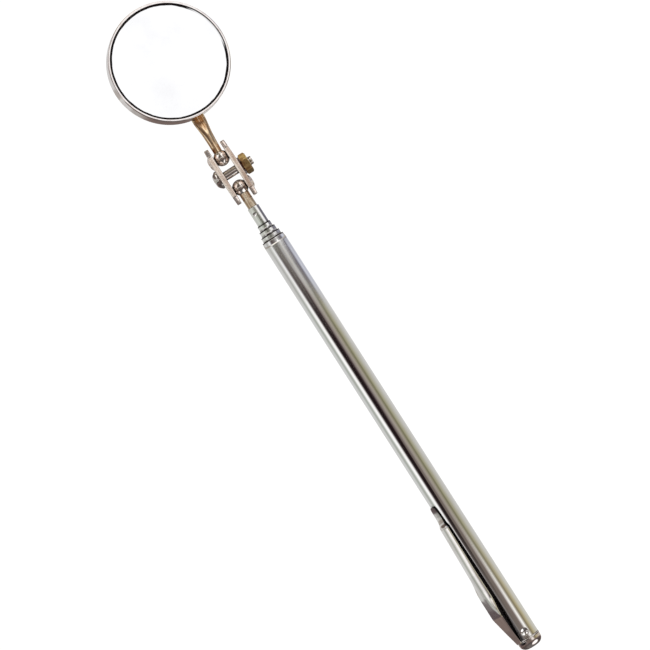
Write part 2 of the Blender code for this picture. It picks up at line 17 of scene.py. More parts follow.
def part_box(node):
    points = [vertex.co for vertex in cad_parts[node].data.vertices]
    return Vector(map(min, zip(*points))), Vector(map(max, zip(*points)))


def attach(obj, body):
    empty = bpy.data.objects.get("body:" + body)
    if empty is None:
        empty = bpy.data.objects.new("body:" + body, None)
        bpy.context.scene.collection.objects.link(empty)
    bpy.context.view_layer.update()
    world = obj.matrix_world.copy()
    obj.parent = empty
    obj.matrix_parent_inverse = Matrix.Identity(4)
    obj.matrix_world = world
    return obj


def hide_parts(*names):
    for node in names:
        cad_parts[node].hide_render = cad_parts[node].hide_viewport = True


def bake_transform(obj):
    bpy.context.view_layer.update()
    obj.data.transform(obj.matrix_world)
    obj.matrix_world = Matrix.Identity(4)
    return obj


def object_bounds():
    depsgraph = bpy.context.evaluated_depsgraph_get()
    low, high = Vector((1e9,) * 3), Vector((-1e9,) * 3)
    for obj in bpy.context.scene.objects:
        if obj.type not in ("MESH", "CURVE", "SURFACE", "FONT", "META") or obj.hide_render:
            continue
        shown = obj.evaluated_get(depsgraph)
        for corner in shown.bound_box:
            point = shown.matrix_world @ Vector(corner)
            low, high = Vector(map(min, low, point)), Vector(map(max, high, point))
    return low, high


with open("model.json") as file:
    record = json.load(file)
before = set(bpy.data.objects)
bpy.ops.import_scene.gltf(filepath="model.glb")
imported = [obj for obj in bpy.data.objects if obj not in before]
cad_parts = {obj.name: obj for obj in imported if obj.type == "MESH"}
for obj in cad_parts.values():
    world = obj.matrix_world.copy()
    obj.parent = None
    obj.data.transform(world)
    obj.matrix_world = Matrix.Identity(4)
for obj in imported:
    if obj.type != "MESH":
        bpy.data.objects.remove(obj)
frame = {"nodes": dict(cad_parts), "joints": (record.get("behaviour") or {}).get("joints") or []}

CAD_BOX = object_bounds()
MM = 0.001
TURN = 2 * math.pi

# Fineness of the meshes.
TUBE_SIDES = 128
SMALL_SIDES = 72
CUP_SIDES = 192
ARC_STEPS = 5
SUPPORT = 0.05 * MM
SHARP_ANGLE = 38
CLIP_SIDES = 14
CLIP_LOOPS = 170
CAP_STEPS = 14
BALL_STEPS = 48
NUT_SIDES = 96
NUT_STEPS = 6
HOLE_SIDES = 48
SEAT_STEPS = 8
STEM_SIDES = 40
STEM_STEPS = 100

# Sizes and places that the boxes of the CAD nodes don't show.
TUBE_WALL = 0.22 * MM
MOUTH_GAP = 0.05 * MM
HANDLE_MOUTH = (1.3 * MM, 0.4 * MM)
SECTION_MOUTH = (1.9 * MM, 1.35 * MM)
# Length of the painted shade line at the end of each swaged mouth.
MOUTH_SHADE_WIDTH = 0.28 * MM
GROOVE_DEPTH = 0.08 * MM
DIMPLE_RADIUS = 1.05 * MM
DIMPLE_DEPTH = 0.5 * MM
DIMPLE_FROM_FOOT = 1.73 * MM
CRIMP_FROM_MOUTH = 1.9 * MM
CRIMP_RADIUS = 0.5 * MM
CRIMP_DEPTH = 0.14 * MM
CRIMP_ANGLE = math.radians(65)
CAP_HEAD_GAP = 0.41 * MM
CAP_SKIRT = 0.7 * MM
CAP_FACE_RADIUS = 1.35 * MM
PLUG_RADIUS = 2.9 * MM
PLUG_GROOVE_RADIUS = 2.3 * MM
BUSH_SPLIT = math.radians(24)
BUSH_EDGE = 0.04 * MM
CLIP_AZIMUTH = math.radians(35)
CLIP_SOFTNESS = 0.35 * MM
BALL_SEAT_GAP = 0.05 * MM
PLATE_CORNER = 2.0 * MM
PLATE_BUMP = 0.55 * MM
PLATE_EDGE = 0.22 * MM
PLATE_GRID = 0.3 * MM
PLATE_CROWN = 0.2 * MM
SCREW_SHANK_RADIUS = 1.2 * MM
SCREW_TIP_CHAMFER = 0.25 * MM
SCREW_HOLE_RADIUS = 1.32 * MM
SEAT_HOLE_RADIUS = 1.0 * MM
SCREW_SLOT_TURN = math.radians(75)
SCREW_SLOT_WIDTH = 0.7 * MM
SCREW_SLOT_CUTTER = 1.6 * MM
NUT_CHAMFER = math.radians(58)
NUT_BORE_CHAMFER = 0.12 * MM
THREAD_PITCH = 0.45 * MM
THREAD_DEPTH = 0.14 * MM
CUP_SHEET = 0.4 * MM
CUP_LIP_OVERHANG = 0.58 * MM


# Meshes ----------------------------------------

def rounded(corners, closed):
    """Points of an outline from (station, across, rounding) corners, each rounding as an arc.

    A support point just outside each arc keeps the shading of the long straight runs true.
    """
    points = []
    count = len(corners)
    for index, (station, across, rounding) in enumerate(corners):
        here = Vector((station, across))
        if rounding == 0 or (not closed and index in (0, count - 1)):
            points.append(here)
            continue
        before = Vector(corners[index - 1][:2]) - here
        after = Vector(corners[(index + 1) % count][:2]) - here
        reach = min(rounding, before.length * 0.45, after.length * 0.45)
        start = here + before.normalized() * reach
        end = here + after.normalized() * reach
        support = min(SUPPORT, reach * 0.1)
        points.append(start + before.normalized() * support)
        for step in range(ARC_STEPS + 1):
            u = step / ARC_STEPS
            points.append(start * (1 - u) ** 2 + here * 2 * u * (1 - u) + end * u ** 2)
        points.append(end + after.normalized() * support)
    return points


def refined(points, start, end, step, closed):
    """Add points every step along the stretches of an outline that cross [start, end]."""
    finer = []
    count = len(points)
    for index, point in enumerate(points):
        finer.append(point)
        if not closed and index == count - 1:
            break
        other = points[(index + 1) % count]
        low, high = sorted((point.x, other.x))
        if high - low < step or high < start or low > end:
            continue
        inner = [start + step * k for k in range(int((end - start) / step) + 1)]
        inner = [x for x in inner if low + step / 2 < x < high - step / 2]
        if other.x < point.x:
            inner.reverse()
        for x in inner:
            finer.append(point.lerp(other, (x - point.x) / (other.x - point.x)))
    return finer


def skin(shape, first, second):
    """Join two rings of vertices with faces; either may be a single point."""
    count = max(len(first), len(second))
    for index in range(count):
        following = (index + 1) % count
        if len(first) == 1:
            shape.faces.new((first[0], second[index], second[following]))
        elif len(second) == 1:
            shape.faces.new((first[index], first[following], second[0]))
        else:
            shape.faces.new((first[index], first[following], second[following], second[index]))


def turned(points, sides, closed=False, radius_at=None):
    """Revolve outline points about the X axis. radius_at(station, radius, angle) may change a radius."""
    shape = bmesh.new()
    rings = []
    for station, radius in points:
        if radius < 1e-9:
            rings.append([shape.verts.new((station, 0, 0))])
            continue
        ring = []
        for index in range(sides):
            angle = TURN * index / sides
            r = radius_at(station, radius, angle) if radius_at else radius
            ring.append(shape.verts.new((station, r * math.cos(angle), r * math.sin(angle))))
        rings.append(ring)
    pairs = list(zip(rings, rings[1:]))
    if closed:
        pairs.append((rings[-1], rings[0]))
    for first, second in pairs:
        skin(shape, first, second)
    return shape


def lofted(loops):
    """Skin equal closed loops of points and cap both ends."""
    shape = bmesh.new()
    rings = [[shape.verts.new(point) for point in loop] for loop in loops]
    for first, second in zip(rings, rings[1:]):
        skin(shape, first, second)
    shape.faces.new(rings[0])
    shape.faces.new(rings[-1])
    return shape


def add_object(name, shape, place=None):
    """A smooth-shaded object from a bmesh whose faces are turned outwards."""
    bmesh.ops.recalc_face_normals(shape, faces=shape.faces)
    mesh = bpy.data.meshes.new(name)
    shape.to_mesh(mesh)
    shape.free()
    if place is not None:
        mesh.transform(place)
    piece = bpy.data.objects.new(name, mesh)
    bpy.context.scene.collection.objects.link(piece)
    return piece


def combine(piece, other, operation):
    """Apply an exact Boolean with a helper object, which is then removed."""
    boolean = piece.modifiers.new(operation, "BOOLEAN")
    boolean.operation = operation
    boolean.solver = "EXACT"
    boolean.object = other
    bpy.context.view_layer.update()
    evaluated = piece.evaluated_get(bpy.context.evaluated_depsgraph_get())
    piece.data = bpy.data.meshes.new_from_object(evaluated)
    piece.modifiers.clear()
    bpy.data.objects.remove(other, do_unlink=True)


def dress(piece, look, stands_for, sharp=SHARP_ANGLE):
    """Give a piece its material and shading, and hide the CAD nodes that it stands for."""
    piece.data.materials.clear()
    piece.data.materials.append(look)
    piece.data.shade_smooth()
    piece.data.set_sharp_from_angle(angle=math.radians(sharp))
    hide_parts(*stands_for)
    return piece


def cad_points(node):
    """The vertices of a CAD node."""
    return [vertex.co for vertex in frame["nodes"][node].data.vertices]


# Outlines are turned about X; these lay them along Y and Z.
ALONG_Y = Matrix.Rotation(math.pi / 2, 4, "Z")
ALONG_Z = Matrix.Rotation(-math.pi / 2, 4, "Y")


def smooth_step(low, high, value):
    t = min(1.0, max(0.0, (value - low) / (high - low)))
    return t * t * (3 - 2 * t)


def eased(stations, at, softness):
    """Values between listed stations: straight runs whose corners are softened."""
    def straight(x):
        if x <= stations[0][0]:
            return Vector(stations[0][1:])
        for (x0, *v0), (x1, *v1) in zip(stations, stations[1:]):
            if x <= x1:
                return Vector(v0).lerp(Vector(v1), (x - x0) / (x1 - x0))
        return Vector(stations[-1][1:])
    samples = [straight(at + softness * k / 2) for k in (-2, -1, 0, 1, 2)]
    return (samples[0] + samples[1] * 2 + samples[2] * 2 + samples[3] * 2 + samples[4]) / 8


# Material graphs ----------------------------------------

class Graph:
    """A node tree wired from code. Inputs are given by name or number, as values or sockets."""

    def __init__(self, tree):
        self.tree = tree
        tree.nodes.clear()

    def add(self, kind, inputs=None, **settings):
        node = self.tree.nodes.new(kind)
        for name, value in settings.items():
            setattr(node, name, value)
        for key, value in (inputs or {}).items():
            if isinstance(value, bpy.types.NodeSocket):
                self.tree.links.new(value, node.inputs[key])
            else:
                node.inputs[key].default_value = value
        return node

    def math(self, operation, *values, clamp=False):
        node = self.add("ShaderNodeMath", dict(enumerate(values)), operation=operation, use_clamp=clamp)
        return node.outputs[0]

    def span(self, value, low, high, to_low=0.0, to_high=1.0):
        """Map [low, high] to [to_low, to_high] smoothly, clamped at both ends."""
        inputs = {"Value": value, "From Min": low, "From Max": high, "To Min": to_low, "To Max": to_high}
        return self.add("ShaderNodeMapRange", inputs, interpolation_type="SMOOTHSTEP").outputs["Result"]

    def vector(self, operation, first, second, output="Value"):
        node = self.add("ShaderNodeVectorMath", {0: first, 1: second}, operation=operation)
        return node.outputs[output]

    def mix(self, factor, first, second):
        inputs = {0: factor, 6: self.paint(first), 7: self.paint(second)}
        return self.add("ShaderNodeMix", inputs, data_type="RGBA").outputs[2]

    def paint(self, colour):
        return colour if isinstance(colour, bpy.types.NodeSocket) else (*colour, 1.0)

    def noise(self, vector, frequency, detail=3.0):
        """Noise with its own frequency per metre along X, Y and Z."""
        scaled = self.add("ShaderNodeMapping", {"Vector": vector, "Scale": frequency})
        inputs = {"Vector": scaled.outputs["Vector"], "Scale": 1.0, "Detail": detail}
        return self.add("ShaderNodeTexNoise", inputs).outputs["Fac"]

    def ramp(self, factor, stops):
        node = self.add("ShaderNodeValToRGB", {"Fac": factor})
        elements = node.color_ramp.elements
        elements.remove(elements[-1])
        for index, (position, colour) in enumerate(stops):
            element = elements[0] if index == 0 else elements.new(position)
            element.position = position
            element.color = (*colour, 1.0)
        return node.outputs["Color"]


def new_material(name):
    """An empty material with its graph and the object's own coordinates."""
    made = bpy.data.materials.new(name)
    made.use_nodes = True
    g = Graph(made.node_tree)
    return made, g, g.add("ShaderNodeTexCoord").outputs["Object"]


def lay_surface(g, colour, rough, metallic, height, relief, depth):
    """End a graph in one surface whose bump has this height, strength and depth."""
    bump = g.add("ShaderNodeBump", {"Height": height, "Strength": relief, "Distance": depth})
    inputs = {"Base Color": colour, "Roughness": rough, "Metallic": metallic}
    inputs["Normal"] = bump.outputs["Normal"]
    shader = g.add("ShaderNodeBsdfPrincipled", inputs)
    g.add("ShaderNodeOutputMaterial", {"Surface": shader.outputs[0]})


# Each painted crevice shade: its reach, and how open a place may be and still be darkened.
CREVICE_SHADE = (0.45 * MM, 0.85)
WIDE_CREVICE_SHADE = (0.75 * MM, 0.97)
LITTLE_CREVICE_SHADE = (0.2 * MM, 0.6)


def metal(name, clean, worn, roughness, lines, wear, relief, crevice_shade=CREVICE_SHADE, bare=1.0):
    """Metal with drawing lines, patches of tarnish, edges brightened partly as rubbed metal and partly as a
    painted highlight, painted shade in its crevices and a fine uneven skin.

    lines holds the frequencies of the drawing lines along X, Y and Z; bare is how metallic it is.
    """
    made, g, place = new_material(name)
    drawn = g.noise(place, lines, 4.0)
    patches = g.noise(place, (190, 420, 420), 5.0)
    skin_noise = g.noise(place, (2600, 2600, 2600), 2.0)
    tarnish = g.math("MULTIPLY", g.span(patches, 0.42, 0.70), wear)
    streaks = g.math("MULTIPLY", g.span(drawn, 0.40, 0.66), wear * 0.8)
    covered = g.math("ADD", tarnish, streaks, clamp=True)
    colour = g.mix(covered, clean, worn)
    # Painted highlight, partly real rubbed metal: convex edges get a colour brighter than the clean metal.
    edge = g.span(g.add("ShaderNodeNewGeometry").outputs["Pointiness"], 0.53, 0.62, 0.0, 0.5)
    edge_highlight = tuple(min(1.0, c * 1.15 + 0.05) for c in clean)
    colour = g.mix(edge, colour, edge_highlight)
    # Painted shade: the colour goes to near black where ambient occlusion finds a crevice, where shade falls.
    reach, openness = crevice_shade
    open_sky = g.add("ShaderNodeAmbientOcclusion", {"Distance": reach}, samples=8).outputs["AO"]
    colour = g.mix(g.span(open_sky, openness - 0.45, openness, 0.95, 0.0), colour, (0.02, 0.013, 0.012))
    rough = g.math("MULTIPLY_ADD", drawn, roughness * 0.6, roughness * 0.65)
    rough = g.math("MULTIPLY_ADD", covered, roughness * 0.8, rough)
    height = g.math("MULTIPLY_ADD", skin_noise, 0.4, drawn)
    lay_surface(g, colour, rough, bare, height, relief, 0.02 * MM)
    return made


# The side along which the painted shade ring round the glass fades out.
RING_FREE_SIDE = (0.2, -0.98, 0.0)


def silvered_glass(centre, radius):
    """A mirror with faint smudges and a painted shade ring: near black round the edge of the glass, fading
    out along one side.
    """
    made, g, place = new_material("silvered_glass")
    away = g.vector("DISTANCE", place, centre)
    broken = g.noise(place, (420, 420, 420), 3.0)
    shade_ring_start = g.math("MULTIPLY_ADD", broken, 0.3 * MM, radius - 0.82 * MM)
    side = g.vector("SUBTRACT", place, centre, "Vector")
    toward_ring_free_side = g.vector("DOT_PRODUCT", side, RING_FREE_SIDE)
    # Painted shade: near black beyond a ragged radius, fading towards the ring-free side.
    ring = g.math("GREATER_THAN", away, shade_ring_start)
    ring = g.math("MULTIPLY", ring, g.span(toward_ring_free_side, radius * 0.82, radius * 0.9, 1.0, 0.15))
    smudge = g.noise(place, (70, 70, 70), 5.0)
    silver = g.mix(g.span(smudge, 0.45, 0.75), (0.97, 0.97, 0.98), (0.90, 0.90, 0.92))
    colour = g.mix(ring, silver, (0.012, 0.010, 0.010))
    rough = g.span(smudge, 0.4, 0.8, 0.015, 0.06)
    fine = g.noise(place, (3000, 3000, 3000), 2.0)
    lay_surface(g, colour, rough, 1.0, fine, 0.02, 0.005 * MM)
    return made


def fibre_board():
    """Dull brown card with fibres."""
    made, g, place = new_material("fibre_board")
    fibres = g.noise(place, (900, 3500, 900), 6.0)
    colour = g.mix(fibres, (0.22, 0.17, 0.12), (0.46, 0.39, 0.29))
    rough = g.span(fibres, 0.3, 0.7, 0.78, 0.95)
    lay_surface(g, colour, rough, 0.0, fibres, 0.6, 0.03 * MM)
    return made


ALONG_LINES = (22, 2600, 2600)
AROUND_LINES = (2600, 300, 300)
PLATE_LINES = (60, 1500, 420)
TUMBLED_LINES = (700, 700, 700)

# Each metal: name, clean colour, worn colour, roughness, lines, wear and relief.
CHROME = metal(
    "polished_chrome", (0.94, 0.94, 0.95), (0.82, 0.80, 0.76), 0.045, ALONG_LINES, 0.3, 0.10, WIDE_CREVICE_SHADE)
# Painted shade: near-black colour for the dark shadow line at each swaged mouth.
MOUTH_SHADE_METAL = metal("painted_mouth_shade", (0.09, 0.08, 0.08), (0.03, 0.02, 0.02), 0.30, TUMBLED_LINES, 0.7, 0.4)
CAP_CHROME = metal("cap_chrome", (0.92, 0.88, 0.87), (0.60, 0.46, 0.42), 0.06, TUMBLED_LINES, 0.5, 0.2)
CLIP_STEEL = metal(
    "clip_steel", (0.96, 0.94, 0.93), (0.76, 0.71, 0.68), 0.08, ALONG_LINES, 0.4, 0.15, LITTLE_CREVICE_SHADE)
# Painted shade: near-black colour for the clip's cut edges and underside, where shade falls.
CLIP_SHADED_FACES = metal("clip_shaded_faces", (0.035, 0.03, 0.03), (0.015, 0.012, 0.012), 0.35, ALONG_LINES, 0.5, 0.3)
NICKEL = metal(
    "worn_nickel", (1.0, 0.93, 0.88), (0.58, 0.38, 0.28), 0.12, PLATE_LINES, 0.55, 0.4, bare=0.85)
BALL_STEEL = metal("ball_steel", (0.96, 0.93, 0.90), (0.50, 0.40, 0.34), 0.07, TUMBLED_LINES, 0.4, 0.25)
STEM_BRASS = metal("stem_brass", (1.0, 0.80, 0.55), (0.40, 0.18, 0.06), 0.12, ALONG_LINES, 0.9, 0.4)
ROD_BRASS = metal("rod_brass", (0.92, 0.83, 0.70), (0.50, 0.34, 0.20), 0.10, ALONG_LINES, 0.7, 0.3)
NUT_BRASS = metal("nut_brass", (0.85, 0.66, 0.30), (0.36, 0.17, 0.07), 0.25, AROUND_LINES, 0.8, 0.5)
BUSH_BRASS = metal("bush_brass", (0.78, 0.60, 0.30), (0.45, 0.30, 0.14), 0.30, TUMBLED_LINES, 0.6, 0.4)
WASHER_STEEL = metal("washer_steel", (0.46, 0.20, 0.15), (0.16, 0.06, 0.05), 0.35, TUMBLED_LINES, 0.7, 0.4)
CUP_NICKEL = metal("cup_nickel", (0.95, 0.91, 0.90), (0.72, 0.62, 0.60), 0.08, TUMBLED_LINES, 0.4, 0.15)


# Tubes ----------------------------------------

def tube_size(node):
    """Foot station, mouth station and radius of a tube, from its CAD node."""
    low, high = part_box(node)
    return low.x, high.x, high.y


def mouth_corners(mouth, radius, next_radius, swage):
    """The swaged mouth that closes on the next tube, from outside to inside."""
    length, nose = swage
    bore = next_radius + MOUTH_GAP
    rim = bore + TUBE_WALL
    start = mouth - length
    land = mouth - nose
    return [
        (start, radius, 0.4 * MM), (land, rim, 0.25 * MM), (mouth - MOUTH_SHADE_WIDTH, rim, 0),
        (mouth, rim, 0.1 * MM), (mouth, bore, 0.05 * MM), (land, bore, 0.2 * MM),
        (start, radius - TUBE_WALL, 0.3 * MM),
    ]


def paint_mouth_shade(tube, mouth):
    """Painted shade: the last bit of a swaged mouth takes a near-black material as a dark shadow line."""
    tube.data.materials.append(MOUTH_SHADE_METAL)
    for face in tube.data.polygons:
        if face.center.x > mouth - MOUTH_SHADE_WIDTH:
            face.material_index = 1


def add_handle_tube():
    foot, mouth, radius = tube_size("handle_tube")
    inner = radius - TUBE_WALL
    next_radius = tube_size("section_4_tube")[2]
    corners = [(foot, radius, 0.06 * MM)] + mouth_corners(mouth, radius, next_radius, HANDLE_MOUTH)
    corners.append((foot, inner, 0.05 * MM))
    dimple = foot + DIMPLE_FROM_FOOT
    margin = DIMPLE_RADIUS * 1.1
    points = rounded(corners, closed=True)
    points = refined(points, dimple - margin, dimple + margin, 0.09 * MM, closed=True)
    shape = turned(points, TUBE_SIDES, closed=True)
    for vertex in shape.verts:
        reach = math.hypot(vertex.co.x - dimple, vertex.co.y) / DIMPLE_RADIUS
        if vertex.co.z > 0 and reach < 1:
            vertex.co.z -= DIMPLE_DEPTH * (1 - reach ** 2) ** 1.5
    tube = dress(add_object("chromed_handle_tube", shape), CHROME, ["handle_tube"])
    paint_mouth_shade(tube, mouth)
    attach(tube, "handle")


def crimped(crimp, tube_radius):
    """How the radius changes at the one punch in the last section, which holds the stem."""
    def radius_at(station, radius, angle):
        reach = math.hypot(station - crimp, tube_radius * (angle - CRIMP_ANGLE)) / CRIMP_RADIUS
        return radius - CRIMP_DEPTH * max(0.0, 1 - reach ** 2) ** 1.5
    return radius_at


def add_section(number):
    """A sliding tube with a rolled groove at its foot; the last one has a plain cut mouth."""
    foot, mouth, radius = tube_size(f"section_{number}_tube")
    low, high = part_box(f"section_{number}_bush")
    inner = radius - TUBE_WALL
    slope = 0.1 * MM
    groove = [
        (low.x - slope, radius), (low.x - slope / 2, radius - GROOVE_DEPTH),
        (high.x + slope / 2, radius - GROOVE_DEPTH), (high.x + slope, radius),
    ]
    corners = [(foot, radius, 0.05 * MM)]
    corners += [(x, r, 0.03 * MM) for x, r in groove]
    if number == 1:
        corners += [(mouth, radius, 0.08 * MM), (mouth, inner, 0.06 * MM)]
    else:
        next_radius = tube_size(f"section_{number - 1}_tube")[2]
        corners += mouth_corners(mouth, radius, next_radius, SECTION_MOUTH)
    corners += [(x, r - TUBE_WALL, 0.03 * MM) for x, r in reversed(groove)]
    corners.append((foot, inner, 0.04 * MM))
    points = rounded(corners, closed=True)
    punch = None
    if number == 1:
        crimp = mouth - CRIMP_FROM_MOUTH
        margin = CRIMP_RADIUS * 1.3
        points = refined(points, crimp - margin, crimp + margin, 0.05 * MM, closed=True)
        punch = crimped(crimp, radius)
    shape = turned(points, TUBE_SIDES, closed=True, radius_at=punch)
    node = f"section_{number}_tube"
    tube = dress(add_object(f"chromed_section_{number}", shape), CHROME, [node])
    if number > 1:
        paint_mouth_shade(tube, mouth)
    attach(tube, f"section_{number}")


def add_bush(number):
    """The split brass bush in a section's groove: a C of rectangular section with softened edges."""
    node = f"section_{number}_bush"
    low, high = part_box(node)
    radii = [math.hypot(co.y, co.z) for co in cad_points(node)]
    corners = [
        (low.x, min(radii), BUSH_EDGE), (high.x, min(radii), BUSH_EDGE),
        (high.x, max(radii), BUSH_EDGE), (low.x, max(radii), BUSH_EDGE),
    ]
    section = rounded(corners, closed=True)
    loops = []
    for index in range(TUBE_SIDES):
        angle = BUSH_SPLIT / 2 + (TURN - BUSH_SPLIT) * index / (TUBE_SIDES - 1)
        across = Vector((0, math.cos(angle), math.sin(angle)))
        loops.append([Vector((point.x, 0, 0)) + across * point.y for point in section])
    bush = dress(add_object(f"brass_bush_{number}", lofted(loops)), BUSH_BRASS, [node])
    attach(bush, f"bush_{number}")


# End cap and pocket clip ----------------------------------------

def add_end_cap():
    low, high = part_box("end_cap")
    radius = high.y
    foot = tube_size("handle_tube")[0]
    head = foot - CAP_HEAD_GAP
    dome = head - CAP_SKIRT
    dimple = foot + DIMPLE_FROM_FOOT
    points = [Vector((low.x, 0))]
    for step in range(CAP_STEPS + 1):
        angle = math.pi / 2 * step / CAP_STEPS
        across = CAP_FACE_RADIUS + (radius - CAP_FACE_RADIUS) * math.sin(angle)
        points.append(Vector((low.x + dome * (1 - math.cos(angle)), across)))
    groove = DIMPLE_RADIUS + 0.15 * MM
    corners = [
        (dome, radius, 0), (head, radius, 0.12 * MM), (head, PLUG_RADIUS, 0.05 * MM),
        (dimple - groove, PLUG_RADIUS, 0.05 * MM), (dimple - groove, PLUG_GROOVE_RADIUS, 0.1 * MM),
        (dimple + groove, PLUG_GROOVE_RADIUS, 0.1 * MM), (dimple + groove, PLUG_RADIUS, 0.05 * MM),
        (high.x, PLUG_RADIUS, 0.3 * MM), (high.x, 0, 0),
    ]
    points += rounded(corners, closed=False)[1:]
    shape = turned(points, TUBE_SIDES)
    cap = dress(add_object("domed_end_cap", shape), CAP_CHROME, ["end_cap"])
    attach(cap, "handle")


# Along the clip: station, height of its outer face over the tube's axis, width, thickness.
CLIP_RUN = [
    (2.50, 3.55, 1.7, 0.48), (2.84, 3.62, 1.7, 0.46), (3.2, 3.67, 1.8, 0.35), (6.7, 4.32, 2.7, 0.35),
    (11.2, 4.97, 4.1, 0.35), (13.4, 5.00, 4.0, 0.35), (17.0, 5.01, 3.9, 0.35), (24.0, 4.92, 3.7, 0.35),
    (34.0, 4.50, 3.3, 0.35), (38.0, 4.36, 3.2, 0.35), (38.9, 3.80, 2.4, 0.35), (40.5, 3.62, 2.3, 0.35),
    (42.4, 3.64, 2.1, 0.35), (43.6, 3.70, 1.7, 0.35), (44.0, 3.74, 0.9, 0.35),
]
CREASE_NEAR = 11.5 * MM
CREASE_FAR = 17.5 * MM
CREASE_BLEND = 6.0 * MM
CHANNEL_RADIUS = 3.1 * MM
CHANNEL_END = 38.2 * MM


def clip_section(station, outward, across):
    """One closed loop of the strip: flat before the diagonal crease, a round channel after it."""
    run = [(x * MM, h * MM, w * MM, t * MM) for x, h, w, t in CLIP_RUN]
    height, width, thickness = eased(run, station, CLIP_SOFTNESS)
    outer = []
    for step in range(CLIP_SIDES + 1):
        share = 2 * step / CLIP_SIDES - 1
        away = share * width / 2
        crease = CREASE_FAR + (CREASE_NEAR - CREASE_FAR) * (share + 1) / 2
        bend = smooth_step(crease, crease + CREASE_BLEND, station)
        bend *= 1 - 0.6 * smooth_step(CHANNEL_END - 0.5 * MM, CHANNEL_END + 0.7 * MM, station)
        drop = bend * (CHANNEL_RADIUS - math.sqrt(CHANNEL_RADIUS ** 2 - away ** 2))
        outer.append((away, height - drop))
    inner = [(away * 0.985, high - thickness) for away, high in reversed(outer)]
    loop = outer + [(outer[-1][0] * 1.012, outer[-1][1] - thickness / 2)]
    loop += inner + [(outer[0][0] * 1.012, outer[0][1] - thickness / 2)]
    return [Vector((station, 0, 0)) + across * away + outward * high for away, high in loop]


def add_clip():
    """Ring and strip as one sheet of steel that bends at the strip's root."""
    outward = Vector((0, math.cos(CLIP_AZIMUTH), math.sin(CLIP_AZIMUTH)))
    across = Vector((0, -math.sin(CLIP_AZIMUTH), math.cos(CLIP_AZIMUTH)))
    low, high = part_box("clip_ring")
    bore = min(math.hypot(co.y, co.z) for co in cad_points("clip_ring"))
    rim = -low.y
    corners = [
        (low.x, bore, 0.05 * MM), (low.x, rim, 0.2 * MM),
        (high.x, rim, 0.2 * MM), (high.x, bore, 0.05 * MM),
    ]
    shape = turned(rounded(corners, closed=True), TUBE_SIDES, closed=True)
    ring = add_object("clip_ring_helper", shape)
    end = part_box("pocket_clip")[1].x
    start = low.x + 0.02 * MM
    stations = [start + (end - start) * k / CLIP_LOOPS for k in range(CLIP_LOOPS + 1)]
    loops = [clip_section(station, outward, across) for station in stations]
    clip = add_object("spring_clip", lofted(loops))
    combine(clip, ring, "UNION")
    dress(clip, CLIP_STEEL, ["pocket_clip", "clip_ring"])
    clip.data.materials.append(CLIP_SHADED_FACES)
    # Painted shade: the tongue's cut edges and the strip's underside take the near-black material.
    for face in clip.data.polygons:
        shaded_cut_edge = face.center.x > CHANNEL_END and abs(face.normal.dot(across)) > 0.7
        shaded_underside = face.center.x > high.x and face.normal.dot(outward) < -0.3
        face.material_index = 1 if shaded_cut_edge or shaded_underside else 0
    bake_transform(clip)


# Double ball joint ----------------------------------------

def ball_centre(node):
    low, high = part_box(node)
    return (low + high) / 2


ROD_BALL = ball_centre("rod_ball")
MIRROR_BALL = next(Vector(j["pos_m"]) for j in frame["joints"] if j["name"] == "mirror_spin")
BALL_RADIUS = (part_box("rod_ball")[1].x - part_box("rod_ball")[0].x) / 2


def add_rod_stem():
    low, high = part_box("rod_stem")
    radius = high.y
    seat = BALL_RADIUS + BALL_SEAT_GAP
    shoulder = ROD_BALL.x - math.sqrt(seat ** 2 - radius ** 2)
    corners = [
        (low.x, 0, 0), (low.x, radius, 0.15 * MM),
        (shoulder - 0.2 * MM, radius, 0.1 * MM), (shoulder, radius, 0),
    ]
    points = rounded(corners, closed=False)
    for step in range(1, SEAT_STEPS + 1):
        across = radius * (1 - step / SEAT_STEPS)
        points.append(Vector((ROD_BALL.x - math.sqrt(seat ** 2 - across ** 2), across)))
    stem = add_object("brass_rod_stem", turned(points, SMALL_SIDES))
    dress(stem, ROD_BRASS, ["rod_stem"])
    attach(stem, "section_1")


def add_ball(name, node, centre, body):
    angles = [math.pi * k / BALL_STEPS for k in range(BALL_STEPS + 1)]
    points = [Vector((-BALL_RADIUS * math.cos(a), BALL_RADIUS * math.sin(a))) for a in angles]
    points[0].y = 0
    points[-1].y = 0
    ball = add_object(name, turned(points, SMALL_SIDES), Matrix.Translation(centre))
    dress(ball, BALL_STEEL, [node])
    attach(ball, body)


def edge_distance(x, z, half_length, half_width):
    """Distance from a point to the nearest side of the plate's cut-cornered outline."""
    corner = (half_length + half_width - PLATE_CORNER - abs(x) - abs(z)) / math.sqrt(2)
    return min(half_length - abs(x), half_width - abs(z), corner)


def outline_at(inset, half_length, half_width):
    """Corners of that outline, moved inwards."""
    length = half_length - inset
    width = half_width - inset
    cut = PLATE_CORNER - inset * (2 - math.sqrt(2))
    return [
        (length - cut, -width), (length, cut - width), (length, width - cut), (length - cut, width),
        (cut - length, width), (-length, width - cut), (-length, cut - width), (cut - length, -width),
    ]


def plate_outline_points(inset, half_length, half_width):
    """The inset outline with points every PLATE_GRID along it."""
    points = []
    corners = outline_at(inset, half_length, half_width)
    for (x0, z0), (x1, z1) in zip(corners, corners[1:] + corners[:1]):
        count = max(1, round(math.hypot(x1 - x0, z1 - z0) / PLATE_GRID))
        points += [(x0 + (x1 - x0) * k / count, z0 + (z1 - z0) * k / count) for k in range(count)]
    return points


